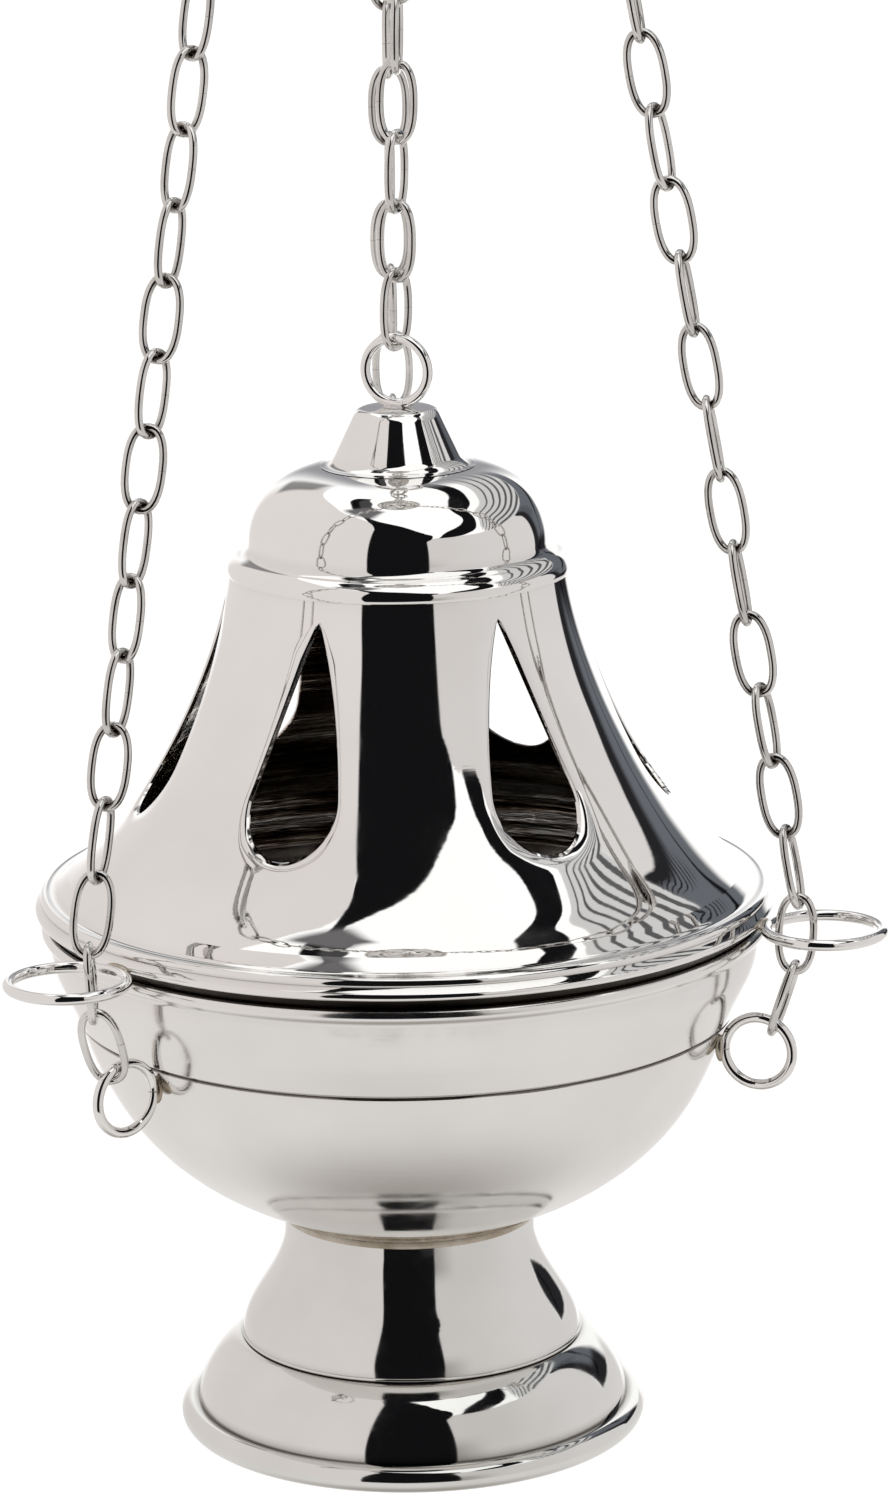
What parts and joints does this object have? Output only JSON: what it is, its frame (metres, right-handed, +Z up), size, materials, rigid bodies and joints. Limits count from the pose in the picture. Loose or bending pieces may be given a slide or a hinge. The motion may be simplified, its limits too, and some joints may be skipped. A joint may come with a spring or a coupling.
{
  "type": "censer (thurible)",
  "caption": "Plain nickel-plated church censer with a lid that slides up three chains on its own chain, under a cap with a hanging ring.",
  "frame": {"origin": "inside the top of the hanging ring, where a hook bears", "axes": "+Z up; -Y towards the viewer; the six smoke holes and three chains go round Z"},
  "size_m": [0.1621, 0.1639, 0.443],
  "materials": {
    "nickel": "mirror-polished nickel plate on spun brass",
    "satin_nickel": "softly polished nickel plate on spun brass",
    "chain_nickel": "drawn nickel-plated wire, open butt joints",
    "pan_steel": "dull spun steel, darkened by heat"
  },
  "bodies": {
    "hanger": {"hanging_ring": "nickel"},
    "cap": {"cap_plate": "nickel", "cap_eye": "nickel", "left_chain_eye": "nickel", "right_chain_eye": "nickel", "back_chain_eye": "nickel"},
    "lid": {"lid_shell": "nickel", "lid_neck": "nickel", "lid_ring": "nickel", "left_guide_ring": "nickel", "right_guide_ring": "nickel", "back_guide_ring": "nickel", "lid_link_01": "chain_nickel", "lid_link_02": "chain_nickel", "lid_link_03": "chain_nickel", "lid_link_04": "chain_nickel", "lid_link_05": "chain_nickel", "lid_link_06": "chain_nickel", "lid_link_07": "chain_nickel", "lid_link_08": "chain_nickel", "lid_link_09": "chain_nickel", "lid_link_10": "chain_nickel", "lid_link_11": "chain_nickel", "lid_link_12": "chain_nickel", "lid_link_13": "chain_nickel", "lid_link_14": "chain_nickel", "lid_link_15": "chain_nickel"},
    "lift_ring": {"lift_ring": "nickel"},
    "bowl": {"bowl_shell": "satin_nickel", "foot_shell": "nickel", "left_bowl_ring": "nickel", "right_bowl_ring": "nickel", "back_bowl_ring": "nickel"},
    "pan": {"charcoal_pan": "pan_steel"},
    "left_run": {"left_chain_run": "chain_nickel"},
    "left_lower": {"left_bottom_link": "chain_nickel", "left_second_link": "chain_nickel"},
    "right_run": {"right_chain_run": "chain_nickel"},
    "right_lower": {"right_bottom_link": "chain_nickel", "right_second_link": "chain_nickel"},
    "back_run": {"back_chain_run": "chain_nickel"},
    "back_lower": {"back_bottom_link": "chain_nickel", "back_second_link": "chain_nickel"}
  },
  "joints": [
    {"name": "swing", "type": "hinge", "parent": "hanger", "child": "cap", "pos_m": [0, 0, -0.0289], "axis": [0, 1, 0], "range_deg": [-35, 35]},
    {"name": "lid_lift", "type": "slide", "parent": "cap", "child": "lid", "axis": [0, 0, 1], "range_m": [0, 0.04]},
    {"name": "lift_ring_tilt", "type": "hinge", "parent": "lid", "child": "lift_ring", "pos_m": [0.0036, -0.0104, -0.03835], "axis": [-1, 0, 0], "range_deg": [0, 100]},
    {"name": "bowl_rise", "type": "slide", "parent": "cap", "child": "bowl", "axis": [0, 0, 1], "range_m": [0, 0.0031]},
    {"name": "pan_lift", "type": "slide", "parent": "bowl", "child": "pan", "axis": [0, 0, 1], "range_m": [0, 0.025]},
    {"name": "left_chain_spread", "type": "hinge", "parent": "cap", "child": "left_run", "pos_m": [-0.02081, -0.01874, -0.06774], "axis": [-0.6691, 0.7431, 0], "range_deg": [0, 1.32]},
    {"name": "left_link_lean", "type": "hinge", "parent": "bowl", "child": "left_lower", "pos_m": [-0.05402, -0.04864, -0.3556], "axis": [0.6691, -0.7431, 0], "range_deg": [0, 14.6]},
    {"name": "right_chain_spread", "type": "hinge", "parent": "cap", "child": "right_run", "pos_m": [0.02643, -0.00925, -0.06774], "axis": [-0.3305, -0.9438, 0], "range_deg": [0, 1.32]},
    {"name": "right_link_lean", "type": "hinge", "parent": "bowl", "child": "right_lower", "pos_m": [0.06861, -0.02403, -0.3556], "axis": [0.3305, 0.9438, 0], "range_deg": [0, 14.6]},
    {"name": "back_chain_spread", "type": "hinge", "parent": "cap", "child": "back_run", "pos_m": [-0.00034, 0.028, -0.06774], "axis": [0.9999, 0.0122, 0], "range_deg": [0, 1.32]},
    {"name": "back_link_lean", "type": "hinge", "parent": "bowl", "child": "back_lower", "pos_m": [-0.00089, 0.07269, -0.3556], "axis": [-0.9999, -0.0122, 0], "range_deg": [0, 14.6]}
  ],
  "couplings": [
    {"joint": "bowl_rise", "follows": "lid_lift", "ratio": 0.076146},
    {"joint": "left_chain_spread", "follows": "lid_lift", "rad_per_m": 0.56},
    {"joint": "left_link_lean", "follows": "lid_lift", "rad_per_m": 6.3444},
    {"joint": "right_chain_spread", "follows": "lid_lift", "rad_per_m": 0.56},
    {"joint": "right_link_lean", "follows": "lid_lift", "rad_per_m": 6.3444},
    {"joint": "back_chain_spread", "follows": "lid_lift", "rad_per_m": 0.56},
    {"joint": "back_link_lean", "follows": "lid_lift", "rad_per_m": 6.3444}
  ]
}
